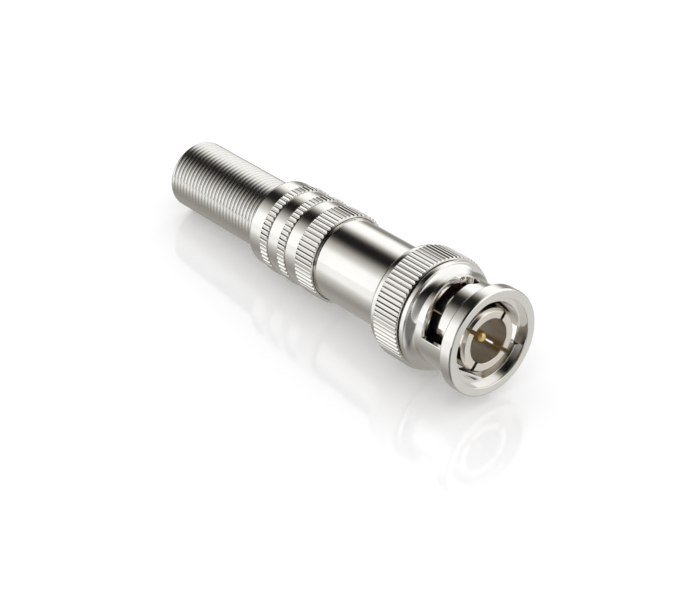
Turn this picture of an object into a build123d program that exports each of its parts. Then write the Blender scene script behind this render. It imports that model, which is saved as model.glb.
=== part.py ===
from build123d import *
import math
import os

# A solder-type cable plug with a bayonet coupling nut and a spring strain relief.
# +X points out of the mating end and +Z is up. The origin lies on the axis in the mating
# plane, where the jack's sleeve comes to rest on the gasket. All sizes are millimetres.
# Radii grow outwards from the jack's bore by walls, steps and clearances, and places
# along X follow from lengths, from the mating plane to the tail of the spring.

os.makedirs("parts", exist_ok=True)

# The jack that it mates with
jack_bore_r = 4.08
jack_wall = 0.77
jack_pin_r = 0.675
lug_r = 1.0
lug_height = 0.65

# Clearances
turn_gap = 0.05
seat_gap = 0.02
slide_gap = 0.03
free_gap = 0.12

# Coupling nut, outside
rim_length = 1.8
rim_height = 0.95
neck_length = 5.25
flank_length = 0.85
lip_height = 0.9
lip_length = 0.55
relief_wall = 0.15
relief_length = 0.3
nut_knurl_height = 0.28
nut_knurl_depth = 0.26
nut_knurl_length = 4.0
nut_knurl_bevel = 0.3
nut_ribs = 72
tail_wall = 0.72
tail_length = 1.15

# Coupling nut, inside
mouth_depth = 0.8
flange_room = 0.2
groove_depth = 0.3
groove_end_wall = 0.33

# Cam slots: where a lug enters, and where it locks
lug_gap = 0.1
lug_groove_wall = 0.2
entry_angle = 163.5
lock_angle = 76.5
ramp_start_angle = 151.5
ramp_end_angle = 86.0
entry_x = 5.1
ramp_drop = 0.9
lock_back = 0.5

# Barrel
gasket_length = 0.8
flange_height = 0.67
flange_length = 1.0
barrel_wall = 1.11
barrel_length = 14.2
barrel_chamfer = 0.33
thread_drop = 0.63
thread_length = 3.3
thread_wall = 0.65
socket_length = 2.9

# Outer contact
contact_front = 9.18
contact_wall = 0.85
contact_nose_taper = 0.45
contact_nose_length = 1.0
contact_lip_height = 0.48
contact_lip_length = 0.5
contact_shank_step = 0.2
finger_slots = 4
finger_slot_width = 0.42
finger_slot_length = 6.5
finger_slot_angle = 47.0

# Insulators and centre pin
front_bead_front = 1.7
front_bead_length = 4.8
rear_bead_length = 2.4
pin_front = 8.4
pin_tip_r = 0.3
pin_tip_length = 0.45
pin_neck_step = 0.175
pin_neck_length = 2.5
pin_body_step = 0.15
pin_collar_height = 0.35
pin_collar_length = 0.4
cup_length = 3.8
cup_depth = 2.9
cup_wall = 0.35
cup_opening = 2.2

# Gasket, nut's washers and ring
gasket_room = 0.18
wave_height = 0.96
wave_thickness = 0.22
wave_count = 3
wave_steps = 24
wave_opening = 8.0
washer_room = 0.1
washer_thickness = 0.3
ring_thickness = 0.5
ring_opening = 35.0

# Liner and ground lug
liner_wall = 0.35
lug_plate_thickness = 0.35
lug_ears_room = 0.2
lug_ears_wall = 0.3
lug_ears_length = 3.4
lug_ears_span = 220.0
lug_tongue_width = 2.8
lug_tongue_length = 1.9

# Back shell
shell_length = 12.65
shell_wall = 0.88
shell_tail_chamfer = 0.4
shell_clamp_step = 0.5
shell_knurl_height = 0.2
shell_knurl_depth = 0.17
shell_ribs = 56
band_starts = (0.0, 5.25, 8.65)
band_lengths = (3.17, 1.4, 1.4)
spring_seat_depth = 1.45
spring_seat_step = 0.24

# Strain relief spring
wire_r = 0.315
coil_pitch = 0.65
coils = 29
steps_per_coil = 10
wire_sides = 4

# Places that follow along the axis, from the flange back and then forward along the nut
flange_front = -gasket_length
flange_back = flange_front - flange_length
wave_front = flange_back - seat_gap
washer_front = wave_front - wave_height - seat_gap
ring_front = washer_front - washer_thickness - turn_gap
ring_back = ring_front - ring_thickness
groove_front = ring_front + seat_gap
groove_back = ring_back - seat_gap
nut_back = groove_back - groove_end_wall
knurl_back = nut_back + tail_length
knurl_front = knurl_back + nut_knurl_length
lip_back = knurl_front + relief_length
flank_back = lip_back + lip_length
neck_back = flank_back + flank_length
rim_back = neck_back + neck_length
nut_front = rim_back + rim_length
barrel_back = flange_back - barrel_length
thread_back = barrel_back - thread_length
socket_back = flange_front - socket_length
contact_back = socket_back + seat_gap
rear_bead_back = socket_back - rear_bead_length
shell_front = barrel_back - slide_gap
shell_back = shell_front - shell_length
lug_plate_front = thread_back - seat_gap
lug_plate_back = lug_plate_front - lug_plate_thickness
spring_seat_x = shell_back + spring_seat_depth
spring_front = spring_seat_x - slide_gap

# Radii that follow, from the jack's bore outwards
contact_r = jack_bore_r - slide_gap
contact_bore_r = contact_r - contact_wall
contact_shank_r = contact_r + contact_shank_step
socket_r = contact_shank_r + seat_gap
nut_bore_r = jack_bore_r + jack_wall + turn_gap
gasket_r = nut_bore_r - gasket_room
mouth_r = jack_bore_r + jack_wall + lug_height + lug_gap
slot_half = lug_r + lug_gap
neck_r = mouth_r + lug_groove_wall
rim_r = neck_r + rim_height
lip_r = neck_r + lip_height
barrel_r = socket_r + barrel_wall
thread_r = barrel_r - thread_drop
chamber_r = thread_r - thread_wall
flange_r = barrel_r + flange_height
washer_bore_r = flange_r + flange_room
relief_r = washer_bore_r + relief_wall
washer_outer_r = washer_bore_r - washer_room
washer_inner_r = barrel_r + free_gap
groove_r = washer_bore_r + groove_depth
tail_r = washer_bore_r + tail_wall
nut_knurl_r = tail_r + nut_knurl_height
pin_neck_r = jack_pin_r + pin_neck_step
pin_body_r = pin_neck_r + pin_body_step
cup_bore_r = pin_body_r - cup_wall
shell_bore_r = thread_r + turn_gap
shell_cavity_r = shell_bore_r - shell_clamp_step
shell_r = shell_bore_r + shell_wall
shell_knurl_r = shell_r + shell_knurl_height
spring_r = shell_cavity_r + spring_seat_step
lug_ears_r = shell_cavity_r - lug_ears_room


def around(angle, radius):
    """The Y and Z of a point at an angle about the axis, from +Y towards +Z."""
    return radius * math.cos(math.radians(angle)), radius * math.sin(math.radians(angle))


def ray_plane(x, angle):
    """A plane on the axis at x, whose normal points outwards at the angle."""
    outward = (0, *around(angle, 1))
    return Plane(origin=(x, 0, 0), x_dir=(1, 0, 0), z_dir=outward)


def tube(front, back, outer_r, inner_r):
    """A plain round tube along the axis."""
    with BuildPart() as ring:
        with BuildSketch(Plane.YZ.offset(back)):
            Circle(outer_r)
            Circle(inner_r, mode=Mode.SUBTRACT)
        extrude(amount=front - back)
    return ring.part


def knurl(front, back, crest_r, depth, ribs, core_r, bevel=0.0, bevel_r=0.0):
    """A ring of straight V ribs. A bevel brings the valleys down to bevel_r at the front."""
    root_r = crest_r - depth
    levels = [(front - bevel, crest_r, root_r), (back, crest_r, root_r)]
    if bevel > 0:
        levels.insert(0, (front, crest_r * bevel_r / root_r, bevel_r))
    with BuildPart() as band:
        for x, ridge_r, valley_r in levels:
            with BuildSketch(Plane.YZ.offset(x)):
                with BuildLine():
                    Polyline(
                        *[
                            around(180 * corner / ribs, valley_r if corner % 2 else ridge_r)
                            for corner in range(2 * ribs)
                        ],
                        close=True,
                    )
                make_face()
        loft(ruled=True)
        with BuildSketch(Plane.YZ.offset(back)):
            Circle(core_r)
        extrude(amount=front - back, mode=Mode.SUBTRACT)
    return band.part


# Coupling nut: turned outside, stepped bore, knurl, and two cam slots
knurl_core_r = washer_bore_r + relief_wall / 2
nut_ribs_band = knurl(
    knurl_front, knurl_back, nut_knurl_r, nut_knurl_depth, nut_ribs,
    knurl_core_r, nut_knurl_bevel, relief_r + seat_gap,
)

# Cutter for the slope of a cam slot: the lug's width along a helix that starts at -Z
with BuildPart() as cam_ramp:
    with BuildLine():
        ramp_pitch = ramp_drop * 360 / (ramp_start_angle - ramp_end_angle)
        ramp = Helix(
            pitch=ramp_pitch, height=ramp_drop, radius=(neck_r + nut_bore_r) / 2,
            center=(entry_x, 0, 0), direction=(-1, 0, 0),
        )
    with BuildSketch(Plane(origin=ramp @ 0, x_dir=(0, 0, -1), z_dir=ramp % 0)):
        Rectangle(2 * (neck_r - nut_bore_r), 2 * slot_half)
    sweep(path=ramp, is_frenet=True)

with BuildPart() as coupling_nut:
    with BuildSketch(Plane.XY):
        with BuildLine():
            Polyline(
                (nut_front, mouth_r), (nut_front, rim_r), (rim_back, rim_r), (rim_back, neck_r),
                (neck_back, neck_r), (flank_back, lip_r), (lip_back, lip_r),
                (knurl_front, relief_r), (knurl_front, knurl_core_r), (knurl_back, knurl_core_r),
                (knurl_back, tail_r), (nut_back, tail_r), (nut_back, washer_bore_r),
                (groove_back, washer_bore_r), (groove_back, groove_r),
                (groove_front, groove_r), (groove_front, washer_bore_r),
                (flange_front + turn_gap, washer_bore_r), (flange_front + turn_gap, nut_bore_r),
                (nut_front - mouth_depth, nut_bore_r), (nut_front - mouth_depth, mouth_r),
                close=True,
            )
        make_face()
    revolve(axis=Axis.X)
    add(nut_ribs_band)
    for turn in (0, 180):
        # internal groove that lets the lug in from the front, as deep as the lug reaches
        with BuildSketch(ray_plane((nut_front + entry_x) / 2, entry_angle + turn)):
            Rectangle(nut_front - entry_x, 2 * slot_half)
        extrude(amount=mouth_r, mode=Mode.SUBTRACT)
        # the start of the slot, cut right through the neck up to the rim
        with BuildSketch(ray_plane((rim_back + entry_x - slot_half) / 2, entry_angle + turn)):
            Rectangle(rim_back - entry_x + slot_half, 2 * slot_half)
        extrude(amount=rim_r, mode=Mode.SUBTRACT)
        add(cam_ramp.part.rotate(Axis.X, ramp_start_angle + turn + 90), mode=Mode.SUBTRACT)
        # round pocket at the end, where the lug is locked
        with BuildSketch(ray_plane(entry_x - lock_back, lock_angle + turn)):
            Circle(slot_half)
        extrude(amount=rim_r, mode=Mode.SUBTRACT)
coupling_nut.part.label = "coupling_nut"
export_step(coupling_nut.part, "parts/coupling_nut.step")

# Barrel: flange that the nut turns against, plain outside, threaded tail, stepped bore
with BuildPart() as barrel:
    with BuildSketch(Plane.XY):
        with BuildLine():
            Polyline(
                (flange_front, socket_r), (flange_front, flange_r), (flange_back, flange_r),
                (flange_back, barrel_r), (barrel_back + barrel_chamfer, barrel_r),
                (barrel_back, barrel_r - barrel_chamfer), (barrel_back, thread_r),
                (thread_back, thread_r), (thread_back, chamber_r), (socket_back, chamber_r),
                (socket_back, socket_r), close=True,
            )
        make_face()
    revolve(axis=Axis.X)
barrel.part.label = "barrel"
export_step(barrel.part, "parts/barrel.step")

# Outer contact: a sleeve pressed in the barrel, split into spring fingers at the front
nose_back = contact_front - contact_nose_length
contact_lip_r = contact_bore_r - contact_lip_height
with BuildPart() as outer_contact:
    with BuildSketch(Plane.XY):
        with BuildLine():
            Polyline(
                (contact_front, contact_lip_r), (contact_front, contact_r - contact_nose_taper),
                (nose_back, contact_r), (0, contact_r), (0, contact_shank_r),
                (contact_back, contact_shank_r), (contact_back, contact_bore_r),
                (contact_front - contact_lip_length, contact_bore_r), close=True,
            )
        make_face()
    revolve(axis=Axis.X)
    for slot in range(finger_slots // 2):
        across = ray_plane(contact_front - finger_slot_length / 2, finger_slot_angle + 90 * slot)
        with BuildSketch(across):
            Rectangle(finger_slot_length, finger_slot_width)
        extrude(amount=contact_r + 1, both=True, mode=Mode.SUBTRACT)
outer_contact.part.label = "outer_contact"
export_step(outer_contact.part, "parts/outer_contact.step")

# Insulators: beads that hold the pin on the axis
front_bead_back = front_bead_front - front_bead_length
pin_step_x = front_bead_front - pin_neck_length
with BuildPart() as front_insulator:
    with BuildSketch(Plane.XY):
        with BuildLine():
            Polyline(
                (front_bead_front, pin_neck_r + slide_gap),
                (front_bead_front, contact_bore_r - seat_gap),
                (front_bead_back, contact_bore_r - seat_gap),
                (front_bead_back, pin_body_r + slide_gap),
                (pin_step_x + seat_gap, pin_body_r + slide_gap),
                (pin_step_x + seat_gap, pin_neck_r + slide_gap), close=True,
            )
        make_face()
    revolve(axis=Axis.X)
front_insulator.part.label = "front_insulator"
export_step(front_insulator.part, "parts/front_insulator.step")

rear_insulator_ring = tube(
    socket_back - seat_gap, rear_bead_back, chamber_r - seat_gap, pin_body_r + slide_gap
)
rear_insulator_ring.label = "rear_insulator"
export_step(rear_insulator_ring, "parts/rear_insulator.step")

# Centre pin: tapered tip, shouldered body, and a solder cup that is open on top
collar_front = rear_bead_back - seat_gap
collar_back = collar_front - pin_collar_length
cup_back = collar_back - cup_length
pin_collar_r = pin_body_r + pin_collar_height
with BuildPart() as centre_pin:
    with BuildSketch(Plane.XY):
        with BuildLine():
            Polyline(
                (pin_front, 0), (pin_front, pin_tip_r), (pin_front - pin_tip_length, jack_pin_r),
                (front_bead_front, jack_pin_r), (front_bead_front, pin_neck_r),
                (pin_step_x, pin_neck_r), (pin_step_x, pin_body_r), (collar_front, pin_body_r),
                (collar_front, pin_collar_r), (collar_back, pin_collar_r),
                (collar_back, pin_body_r), (cup_back, pin_body_r), (cup_back, cup_bore_r),
                (cup_back + cup_depth, cup_bore_r), (cup_back + cup_depth, 0), close=True,
            )
        make_face()
    revolve(axis=Axis.X)
    with BuildSketch(Plane.XZ):
        with Locations((cup_back + cup_opening / 2, pin_body_r)):
            Rectangle(cup_opening, 2 * pin_body_r)
    extrude(amount=2 * pin_body_r, both=True, mode=Mode.SUBTRACT)
centre_pin.part.label = "centre_pin"
export_step(centre_pin.part, "parts/centre_pin.step")

# Gasket in front of the flange
gasket_ring = tube(0, flange_front + seat_gap, gasket_r, contact_shank_r + seat_gap)
gasket_ring.label = "gasket"
export_step(gasket_ring, "parts/gasket.step")

# Wave washer: a split ring of flat strip, bent into waves
wave_middle = wave_front - wave_height / 2
wave_swing = (wave_height - wave_thickness) / 2
wave_mean_r = (washer_inner_r + washer_outer_r) / 2
with BuildPart() as wave_washer:
    for step in range(wave_steps + 1):
        angle = 90 + wave_opening / 2 + (360 - wave_opening) * step / wave_steps
        phase = math.radians(360 * wave_count * step / wave_steps)
        along = wave_middle + wave_swing * math.cos(phase)
        outward = (0, *around(angle, 1))
        sideways = (0, *around(angle + 90, 1))
        with BuildSketch(Plane(origin=(along, *around(angle, wave_mean_r)), x_dir=outward, z_dir=sideways)):
            Rectangle(washer_outer_r - washer_inner_r, wave_thickness)
    loft(ruled=True)
wave_washer.part.label = "wave_washer"
export_step(wave_washer.part, "parts/wave_washer.step")

# Thrust washer between the wave washer and the retaining ring
thrust_ring = tube(washer_front, washer_front - washer_thickness, washer_outer_r, washer_inner_r)
thrust_ring.label = "thrust_washer"
export_step(thrust_ring, "parts/thrust_washer.step")

# Retaining ring, open on one side so that it springs into the nut's groove
with BuildPart() as retaining_ring:
    with BuildSketch(Plane.YZ.offset(ring_back)):
        Circle(groove_r - turn_gap)
        Circle(washer_inner_r, mode=Mode.SUBTRACT)
        with BuildLine():
            far = 2 * groove_r
            Polyline(
                (0, 0), around(90 - ring_opening / 2, far), around(90 + ring_opening / 2, far), close=True
            )
        make_face(mode=Mode.SUBTRACT)
    extrude(amount=ring_thickness)
retaining_ring.part.label = "retaining_ring"
export_step(retaining_ring.part, "parts/retaining_ring.step")

# Liner that keeps the solder joint off the barrel
liner_r = chamber_r - turn_gap
insulating_liner = tube(collar_back - free_gap, thread_back + free_gap, liner_r, liner_r - liner_wall)
insulating_liner.label = "insulating_liner"
export_step(insulating_liner, "parts/insulating_liner.step")

# Ground lug: a ring clamped behind the barrel, a tongue, and two ears round the cable
ears_front = lug_plate_back - lug_tongue_length
ears_inner_r = lug_ears_r - lug_ears_wall
lug_ring_r = shell_bore_r - free_gap
with BuildPart() as ground_lug:
    with BuildSketch(Plane.YZ.offset(lug_plate_back)):
        Circle(lug_ring_r)
        Circle(ears_inner_r, mode=Mode.SUBTRACT)
    extrude(amount=lug_plate_thickness)
    with BuildSketch(Plane.YZ.offset(ears_front)):
        Circle(lug_ears_r)
        Circle(ears_inner_r, mode=Mode.SUBTRACT)
        with Locations((0, -lug_ears_r)):
            Rectangle(lug_tongue_width, lug_ears_r, mode=Mode.INTERSECT)
    extrude(amount=lug_tongue_length)
    with BuildSketch(Plane.YZ.offset(ears_front - lug_ears_length)):
        Circle(lug_ears_r)
        Circle(ears_inner_r, mode=Mode.SUBTRACT)
        with BuildLine():
            far = 2 * lug_ears_r
            half_open = 180 - lug_ears_span / 2
            Polyline(
                (0, 0), around(90 - half_open, far), around(90, far), around(90 + half_open, far),
                close=True,
            )
        make_face(mode=Mode.SUBTRACT)
    extrude(amount=lug_ears_length)
ground_lug.part.label = "ground_lug"
export_step(ground_lug.part, "parts/ground_lug.step")

# Back shell: bored for the thread, stepped down on the lug, knurled in three bands
shell_step_x = lug_plate_back - slide_gap
shell_core_r = (shell_r + shell_bore_r) / 2
with BuildPart() as back_shell:
    with BuildSketch(Plane.XY):
        with BuildLine():
            Polyline(
                (shell_front, shell_bore_r), (shell_front, shell_r),
                (shell_back + shell_tail_chamfer, shell_r), (shell_back, shell_r - shell_tail_chamfer),
                (shell_back, spring_r + turn_gap), (spring_seat_x, spring_r + turn_gap),
                (spring_seat_x, shell_cavity_r), (shell_step_x, shell_cavity_r),
                (shell_step_x, shell_bore_r), close=True,
            )
        make_face()
    revolve(axis=Axis.X)
    for start, length in zip(band_starts, band_lengths):
        band_front = shell_front - start
        add(
            knurl(
                band_front, band_front - length, shell_knurl_r, shell_knurl_depth, shell_ribs,
                shell_core_r,
            )
        )
back_shell.part.label = "back_shell"
export_step(back_shell.part, "parts/back_shell.step")

# Strain relief spring: a close-wound coil. The wire has a few flat sides and the coil a
# straight facet for each step of a turn, which keeps the number of faces down.
coil_r = spring_r - wire_r
with BuildPart() as strain_relief_spring:
    for step in range(coils * steps_per_coil + 1):
        angle = 360 * step / steps_per_coil
        along = spring_front - wire_r - coil_pitch * step / steps_per_coil
        outward = (0, *around(angle, 1))
        travel = (-coil_pitch, *around(angle + 90, 2 * math.pi * coil_r))
        with BuildSketch(Plane(origin=(along, *around(angle, coil_r)), x_dir=outward, z_dir=travel)):
            RegularPolygon(wire_r, wire_sides)
    loft(ruled=True)
strain_relief_spring.part.label = "strain_relief_spring"
export_step(strain_relief_spring.part, "parts/strain_relief_spring.step")
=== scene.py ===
"""Looks of a coaxial cable plug with a bayonet nut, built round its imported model.

The plug lies along X, with its mating end towards +X. Sizes are in metres, as in the
frame, and the small helpers that shape the pieces work in millimetres.
"""

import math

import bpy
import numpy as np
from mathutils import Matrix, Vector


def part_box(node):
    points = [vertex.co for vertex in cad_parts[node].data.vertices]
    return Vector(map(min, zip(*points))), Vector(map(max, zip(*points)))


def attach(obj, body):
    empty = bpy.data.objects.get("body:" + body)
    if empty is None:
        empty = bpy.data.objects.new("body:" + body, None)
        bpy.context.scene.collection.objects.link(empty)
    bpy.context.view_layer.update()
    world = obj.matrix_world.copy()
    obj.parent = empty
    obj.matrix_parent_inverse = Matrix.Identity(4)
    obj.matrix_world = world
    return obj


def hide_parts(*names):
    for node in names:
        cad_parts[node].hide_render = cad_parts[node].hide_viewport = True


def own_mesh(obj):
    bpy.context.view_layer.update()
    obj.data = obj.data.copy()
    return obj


bl_info = {
    "name": "Bayonet cable plug",
    "version": (1, 0, 0),
    "blender": (4, 5, 0),
    "location": "3D View > Sidebar > Plug",
    "description": "Builds the visible pieces of a bayonet cable plug round its frame",
    "category": "Add Mesh",
}

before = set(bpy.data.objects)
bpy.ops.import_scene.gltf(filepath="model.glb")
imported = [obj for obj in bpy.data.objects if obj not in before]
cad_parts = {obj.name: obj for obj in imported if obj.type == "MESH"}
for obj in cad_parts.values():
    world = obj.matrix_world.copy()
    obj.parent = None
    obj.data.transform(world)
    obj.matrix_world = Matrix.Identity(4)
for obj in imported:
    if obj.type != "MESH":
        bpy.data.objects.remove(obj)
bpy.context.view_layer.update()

# Millimetres to metres
MM = 0.001
SHARP_ANGLE = math.radians(34)
# Distance of the extra rows of points beside an edge, in millimetres
BRACE = 0.03
# Rounding of small edges, and how far a shell reaches under the one beside it
FINE_EDGE = 0.05
EDGE = 0.1
LAP = 0.02

# Places along the axis that come from the frame, in millimetres
NUT_BACK, NUT_FRONT = (corner.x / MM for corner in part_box("coupling_nut"))
BARREL_BACK, BARREL_FRONT = (corner.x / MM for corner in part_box("barrel"))
CONTACT_BACK, CONTACT_FRONT = (corner.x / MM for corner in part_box("outer_contact"))
PIN_BACK, PIN_FRONT = (corner.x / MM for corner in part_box("centre_pin"))
SHELL_BACK, SHELL_FRONT = (corner.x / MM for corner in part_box("back_shell"))
SPRING_BACK, SPRING_FRONT = (corner.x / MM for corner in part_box("strain_relief_spring"))
NUT_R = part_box("coupling_nut")[1].y / MM
FLANGE_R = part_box("barrel")[1].y / MM
SPRING_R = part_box("strain_relief_spring")[1].y / MM

# Coupling nut
RIM_LENGTH = 1.8
RIM_R = 6.75
RIM_FRONT_ROUND = 0.27
RIM_BACK_ROUND = 0.22
NECK_LENGTH = 5.25
NECK_R = 5.8
FLANK_LENGTH = 0.85
FLANK_HOLLOW_R = 1.6
LIP_R = 6.88
LIP_LENGTH = 0.72
RELIEF_R = 6.3
RELIEF_LENGTH = 0.13
KNURL_CORE = 0.3
NUT_BORE_R = 4.9
MOUTH_R = 5.6
MOUTH_DEPTH = 0.8
MOUTH_ROUND = 0.12
TAIL_R = 6.88
TAIL_LENGTH = 1.15
TAIL_ROUND = 0.48
WASHER_BORE_R = 6.25
STEP_X = -0.75
RING_GROOVE = (-3.13, -3.67, 6.55)
NUT_RIBS = 72
NUT_RIB_DEPTH = 0.18
NUT_BEVEL = 0.1
NUT_BACK_BEVEL = 0.12
# Places of a rib's points on one side of its groove's middle, as shares of a rib
RIB_POINTS = (0.03, 0.1, 0.18, 0.25, 0.29, 0.34, 0.39, 0.445)

# Cam slot of the nut: half width, angles in degrees from +Y towards +Z, places along X
SLOT_HALF = 1.1
ENTRY_ANGLE = 163.5
LOCK_ANGLE = 76.5
RAMP_START_ANGLE = 151.5
RAMP_END_ANGLE = 86.0
ENTRY_X = 5.1
RAMP_DROP = 0.9
LOCK_X = 4.6
SEAM_ANGLE = 210.0
NECK_LAP = 0.35
# Degrees between the ramp's end points and the entry, and the same at the lock pocket
RAMP_GAPS = (1.5, 1.6)
SLOT_CORNER = 0.16
SLOT_EDGE = 0.05

# Barrel
FLANGE_LENGTH = 1.0
BARREL_R = 5.38
BARREL_LENGTH = 14.2
BARREL_CHAMFER = 0.33
SOCKET_R = 4.27
SOCKET_X = -3.7
CHAMBER_R = 4.1
THREAD_R = 4.75
THREAD_DEPTH = 0.2
THREAD_PITCH = 0.75
THREAD_FADE = 0.3

# Contact sleeve and pin
CONTACT_R = 4.05
CONTACT_SHANK_R = 4.25
CONTACT_BORE_R = 3.2
NOSE_R = 3.74
NOSE_LENGTH = 0.4
CONTACT_LIP_R = 2.72
CONTACT_LIP_LENGTH = 0.5
FINGERS = 4
FINGER_SLOT_ANGLE = 47.0
# Half width of a finger slot at its root, where its flared mouth starts, and at its end
FINGER_SLOT_HALF = (0.07, 0.13, 0.26)
FINGER_SLOT_MOUTH = 0.25
FINGER_LENGTH = 6.5
PIN_R = 0.675
PIN_TIP_ROUND = 0.56
PIN_NECK_R = 0.85
PIN_BODY_R = 1.0
PIN_COLLAR_R = 1.35
PIN_SHOULDER_X = 1.7
PIN_STEP_X = -0.8
PIN_COLLAR = (-6.12, -6.52)
CUP_BORE_R = 0.65
CUP_DEPTH = 2.9
CUP_OPENING = 2.2

# Back shell
SHELL_R = 5.68
SHELL_KNURL_R = 5.88
SHELL_RIBS = 56
SHELL_RIB_DEPTH = 0.2
# Each band's place behind the shell's front, its length and its front bevel
SHELL_BANDS = ((0.0, 3.17, 0.1), (5.25, 1.4, 0.07), (8.65, 1.4, 0.07))
BAND_BACK_BEVEL = 0.16
BAND_DEPTH = 0.16
SHELL_BORE_R = 4.8
SHELL_BORE_DEPTH = 3.67
SHELL_CAVITY_R = 4.3
SHELL_TAIL_ROUND = 0.62
SPRING_SEAT_R = 4.59
SPRING_SEAT_DEPTH = 1.45
BAND_GROOVE = 0.12

# Strain relief spring
WIRE_R = 0.315
COIL_PITCH = 0.65

# Wave washer: a split strip with its opening at the top, in degrees
WAVES = 3
WAVE_OPENING = 8.0
WAVE_THICKNESS = 0.22

# Floor: it touches the nut's knurl and the shell's last band, so it slopes along X
FLOOR_SLOPE = math.atan2(1.37, 23.23)
FLOOR_TOUCH_X = -2.85
FLOOR_NORMAL = (math.sin(FLOOR_SLOPE), 0.0, math.cos(FLOOR_SLOPE))

# Camera: aim in millimetres, then angles in degrees
AIM = (-14.96, -0.72, -5.05)
CAMERA_AZIMUTH = -38.845
CAMERA_ELEVATION = 31.805
CAMERA_ROLL = -2.389
CAMERA_DISTANCE = 270.54
CAMERA_LENS = 113.14


def colour(name, description, default):
    """A property that holds a colour."""
    return bpy.props.FloatVectorProperty(
        name=name, description=description, default=default, size=3, min=0, max=1, subtype="COLOR"
    )


class PlugFinish(bpy.types.PropertyGroup):
    """Colours and gloss of the plug's finishes."""

    nickel: colour("Nickel", "Colour of the plated brass", (0.86, 0.85, 0.82))
    contact: colour("Contact", "Colour of the plated outer contact", (0.90, 0.85, 0.78))
    wire: colour("Spring wire", "Colour of the drawn wire", (0.80, 0.79, 0.76))
    gold: colour("Gold", "Colour of the plated centre pin", (0.93, 0.66, 0.20))
    bead: colour("Bead", "Colour of the insulating beads", (0.80, 0.78, 0.74))
    rubber: colour("Gasket", "Colour of the soft gasket", (0.20, 0.07, 0.05))
    bronze: colour("Bronze", "Colour of the spring washers", (0.62, 0.42, 0.24))
    gloss: bpy.props.FloatProperty(
        name="Plate roughness", description="Roughness of the polished plate",
        default=0.10, min=0.02, max=0.6, subtype="FACTOR",
    )


class PlugSizes(bpy.types.PropertyGroup):
    """Sizes of the plug's surface detail."""

    rib_depth: bpy.props.FloatProperty(
        name="Nut rib depth", description="Depth of the grooves between the nut's ribs",
        default=NUT_RIB_DEPTH * MM, min=0, max=0.0004, precision=5, subtype="DISTANCE", unit="LENGTH",
    )
    shell_rib_depth: bpy.props.FloatProperty(
        name="Shell rib depth", description="Depth of the grooves in the shell's bands",
        default=SHELL_RIB_DEPTH * MM, min=0, max=0.0004, precision=5, subtype="DISTANCE", unit="LENGTH",
    )
    wire_radius: bpy.props.FloatProperty(
        name="Wire radius", description="Radius of the spring's wire",
        default=WIRE_R * MM, min=0.0001, max=0.000325, precision=5, subtype="DISTANCE", unit="LENGTH",
    )
    thread_depth: bpy.props.FloatProperty(
        name="Thread depth", description="Depth of the thread under the shell",
        default=THREAD_DEPTH * MM, min=0, max=0.0003, precision=5, subtype="DISTANCE", unit="LENGTH",
    )
    floor_size: bpy.props.FloatProperty(
        name="Floor size", description="Side of the square floor",
        default=3.0, min=0.2, max=10, subtype="DISTANCE", unit="LENGTH",
    )


def rounded(corners, arc_steps=5):
    """A closed outline from corners (x, r, fillet). A fillet is an arc that touches both
    sides: its centre lies on the corner's bisector, fillet / sin(half angle) away."""
    pieces = []
    for index, (x, r, fillet) in enumerate(corners):
        here = np.array((x, r), float)
        if fillet <= 0:
            pieces.append(here[None])
            continue
        back = np.array(corners[index - 1][:2]) - here
        ahead = np.array(corners[(index + 1) % len(corners)][:2]) - here
        back /= np.linalg.norm(back)
        ahead /= np.linalg.norm(ahead)
        half = np.arccos(np.clip(back @ ahead, -1, 1)) / 2
        bisector = (back + ahead) / np.linalg.norm(back + ahead)
        centre = here + bisector * fillet / np.sin(half)
        start = here + back * fillet / np.tan(half) - centre
        end = here + ahead * fillet / np.tan(half) - centre
        sweep = np.pi - 2 * half
        t = np.linspace(0, 1, arc_steps + 1)[:, None]
        pieces.append(centre + (np.sin((1 - t) * sweep) * start + np.sin(t * sweep) * end) / np.sin(sweep))
    return braced(np.concatenate(pieces))


def braced(outline):
    """The closed outline with a point BRACE from both ends of each long straight run, so
    that a rounded edge doesn't bend the shading of the flat beside it."""
    run = np.roll(outline, -1, 0) - outline
    length = np.linalg.norm(run, axis=1)
    kept = []
    for point, way, reach in zip(outline, run, length):
        kept.append(point)
        if reach > 5 * BRACE:
            kept += [point + way * BRACE / reach, point + way * (1 - BRACE / reach)]
    return np.array(kept)


def on_axis(x, r, angle):
    """Points at x, radius r and angle about the axis, from +Y towards +Z, in radians."""
    x, r, angle = np.broadcast_arrays(x, r, angle)
    return np.stack([x, r * np.cos(angle), r * np.sin(angle)], -1)


def grid_faces(rows, columns, close_rows, close_columns):
    """Quads of a grid of points, with either direction closed on itself."""
    i, j = np.meshgrid(
        np.arange(rows if close_rows else rows - 1),
        np.arange(columns if close_columns else columns - 1), indexing="ij",
    )
    next_i = (i + 1) % rows
    next_j = (j + 1) % columns
    corners = (i * columns + j, next_i * columns + j, next_i * columns + next_j, i * columns + next_j)
    return np.stack(corners, -1).reshape(-1, 4).tolist()


def tube_faces(rings, count):
    """Quads of a tube of rings with count points each, and a face that closes each end."""
    ends = [list(range(count))[::-1], list(range((rings - 1) * count, rings * count))]
    return grid_faces(rings, count, False, True) + ends


def volume(points, faces):
    """Volume that the faces close in: the sum of x times the x part of each face's area."""
    total = 0.0
    for size in {len(face) for face in faces}:
        corners = points[np.array([face for face in faces if len(face) == size])]
        for k in range(1, size - 1):
            total += np.einsum("ij,ij->", corners[:, 0], np.cross(corners[:, k], corners[:, k + 1])) / 6
    return total


def closed(points, faces):
    """A shell with its faces turned outwards."""
    points = points.reshape(-1, 3)
    if volume(points, faces) < 0:
        faces = [face[::-1] for face in faces]
    return points, faces


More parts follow.
